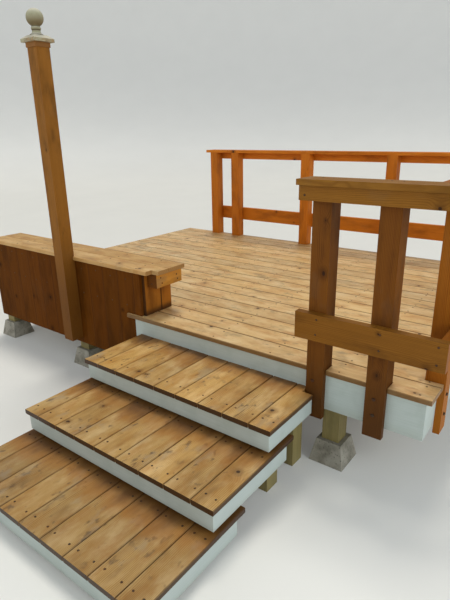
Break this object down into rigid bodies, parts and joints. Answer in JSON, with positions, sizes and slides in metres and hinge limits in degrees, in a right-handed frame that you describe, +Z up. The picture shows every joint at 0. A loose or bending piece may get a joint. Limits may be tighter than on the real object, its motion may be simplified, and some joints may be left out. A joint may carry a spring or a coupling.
{
  "type": "wooden deck stairs with their landing deck and guard rails",
  "caption": "Box-step timber stairs that climb to a raised board deck with post-and-rail guards, a planter bench and a tall ball-topped post.",
  "frame": {"origin": "middle of the underside of the lowest step's front beam, on the ground", "axes": "+Z up, +X to the right along the steps' front edge, +Y from the lowest step up to the deck"},
  "size_m": [3.487, 3.7001, 2.2717],
  "materials": {
    "stained_boards": "semi-transparent golden brown stain, weathered",
    "white_paint": "white exterior paint",
    "framing_lumber": "pressure-treated, unfinished",
    "concrete": "rough cast concrete",
    "stained_posts": "orange-brown stain",
    "stained_rails": "orange-brown stain",
    "stained_cladding": "orange-brown stain",
    "weathered_paint": "chalky grey-green paint, worn to the wood on the flat cap"
  },
  "bodies": {
    "root": {"lower_step_boards": "stained_boards", "lower_step_fascias": "white_paint", "lower_step_beams": "framing_lumber", "lower_step_joists": "framing_lumber", "middle_step_boards": "stained_boards", "middle_step_fascias": "white_paint", "middle_step_beams": "framing_lumber", "middle_step_joists": "framing_lumber", "upper_step_boards": "stained_boards", "upper_step_fascias": "white_paint", "upper_step_beams": "framing_lumber", "upper_step_joists": "framing_lumber", "step_legs": "framing_lumber", "deck_boards": "stained_boards", "deck_rims": "framing_lumber", "deck_joists": "framing_lumber", "deck_front_fascia": "white_paint", "deck_side_fascia": "white_paint", "deck_rear_fascia": "white_paint", "support_posts": "framing_lumber", "pier_blocks": "concrete", "front_guard_posts": "stained_posts", "side_guard_posts": "stained_posts", "rear_guard_posts": "stained_posts", "front_top_rail": "stained_rails", "side_top_rail": "stained_rails", "rear_top_rail": "stained_rails", "front_bottom_rail": "stained_rails", "side_bottom_rail": "stained_rails", "rear_bottom_rail": "stained_rails", "front_rail_cap": "stained_boards", "side_rail_cap": "stained_boards", "rear_rail_cap": "stained_boards", "bench_front_cladding": "stained_cladding", "bench_back_cladding": "stained_cladding", "bench_end_cladding": "stained_cladding", "bench_frame": "framing_lumber", "bench_cap": "stained_boards", "bench_cap_cleat": "stained_rails", "tall_post": "stained_posts", "tall_post_collar": "stained_posts", "tall_post_cap": "weathered_paint"}
  },
  "joints": []
}
